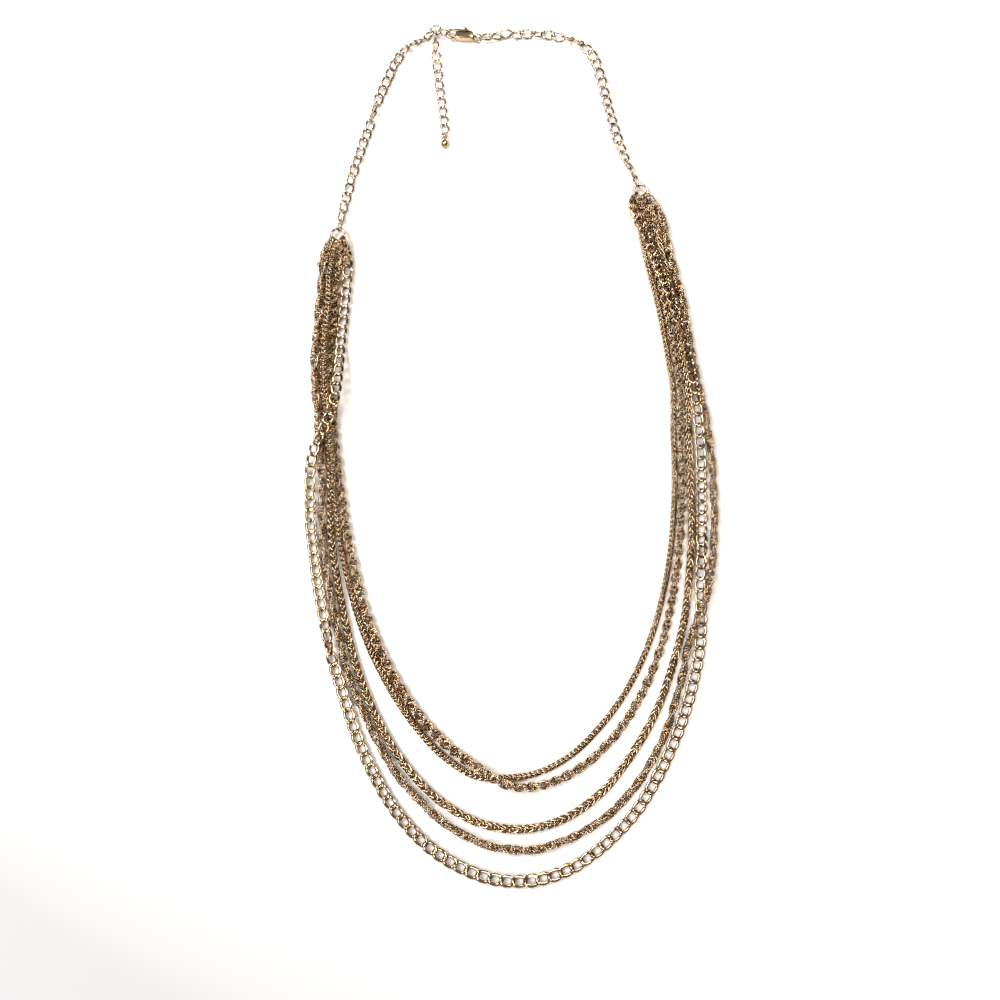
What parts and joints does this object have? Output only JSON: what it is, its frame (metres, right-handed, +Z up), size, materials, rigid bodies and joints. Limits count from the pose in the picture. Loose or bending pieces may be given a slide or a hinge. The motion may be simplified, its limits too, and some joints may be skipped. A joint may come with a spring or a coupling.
{
  "type": "multi strand necklace",
  "caption": "Gold-tone multi strand necklace lying flat, with wheat, twisted and open curb strands, a lobster clasp and an extender chain with a ball drop.",
  "frame": {"origin": "middle of the necklace's bounding box, at the height of the table it lies on", "axes": "+X to the wearer's side that lies right in the picture, +Y from the bottom of the strands up to the clasp, +Z up from the table"},
  "size_m": [0.161, 0.3532, 0.0072],
  "materials": {
    "champagne_gold": "polished champagne gold plating",
    "pale_gold": "polished pale gold plating"
  },
  "bodies": {
    "necklace": {"inner_wheat_strand": "champagne_gold", "inner_twist_strand": "champagne_gold", "middle_wheat_strand": "champagne_gold", "outer_twist_strand": "champagne_gold", "outer_curb_left": "champagne_gold", "outer_curb_bottom": "champagne_gold", "outer_curb_right": "champagne_gold", "left_gathering_ring": "pale_gold", "right_gathering_ring": "pale_gold", "left_neck_chain": "pale_gold", "right_neck_chain": "pale_gold", "clasp_ring": "pale_gold", "clasp_body": "champagne_gold", "caught_link": "pale_gold", "extender_ring": "pale_gold", "extender_chain": "pale_gold", "drop_ring": "pale_gold", "extender_drop": "champagne_gold"},
    "lever": {"clasp_lever": "champagne_gold"}
  },
  "joints": [
    {"name": "lever_hinge", "type": "hinge", "parent": "necklace", "child": "lever", "pos_m": [-0.0169, 0.1718, 0.0019], "axis": [0, 0, 1], "range_deg": [0, 18], "stiffness_Nm_per_rad": 0.001}
  ]
}
